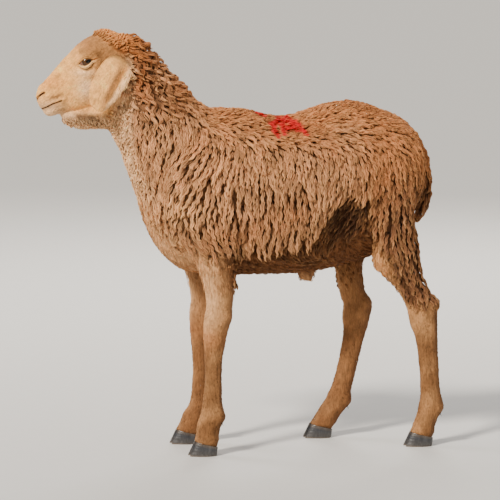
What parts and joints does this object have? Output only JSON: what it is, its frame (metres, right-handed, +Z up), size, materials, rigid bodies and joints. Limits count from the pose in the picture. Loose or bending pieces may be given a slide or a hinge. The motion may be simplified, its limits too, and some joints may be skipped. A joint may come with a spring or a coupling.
{
  "type": "sheep",
  "caption": "Life-size still model of a young brown ram in short wavy fleece, standing square with head raised and ears hanging.",
  "frame": {"origin": "on the floor under the middle of the animal's box", "axes": "+Z up, -X the way the animal faces, -Y its left side"},
  "size_m": [0.8106, 0.2592, 0.846],
  "materials": {
    "wool": "short wavy fleece in pointed locks, warm brown, matt",
    "short_hair": "short flat tan hair over skin, matt with a faint sheen along the lie",
    "hoof_horn": "slate grey horn, satin, paler and scuffed at the toe",
    "eye": "wet dark brown eye with an amber iris and a level slot pupil"
  },
  "bodies": {
    "root": {"head": "short_hair", "neck": "wool", "trunk": "wool", "tail": "short_hair", "ear_left": "short_hair", "ear_right": "short_hair", "eye_left": "eye", "eye_right": "eye", "fore_leg_left": "short_hair", "fore_leg_left_inner_claw": "hoof_horn", "fore_leg_left_outer_claw": "hoof_horn", "fore_leg_right": "short_hair", "fore_leg_right_inner_claw": "hoof_horn", "fore_leg_right_outer_claw": "hoof_horn", "hind_leg_left": "short_hair", "hind_leg_left_inner_claw": "hoof_horn", "hind_leg_left_outer_claw": "hoof_horn", "hind_leg_right": "short_hair", "hind_leg_right_inner_claw": "hoof_horn", "hind_leg_right_outer_claw": "hoof_horn"}
  },
  "joints": []
}
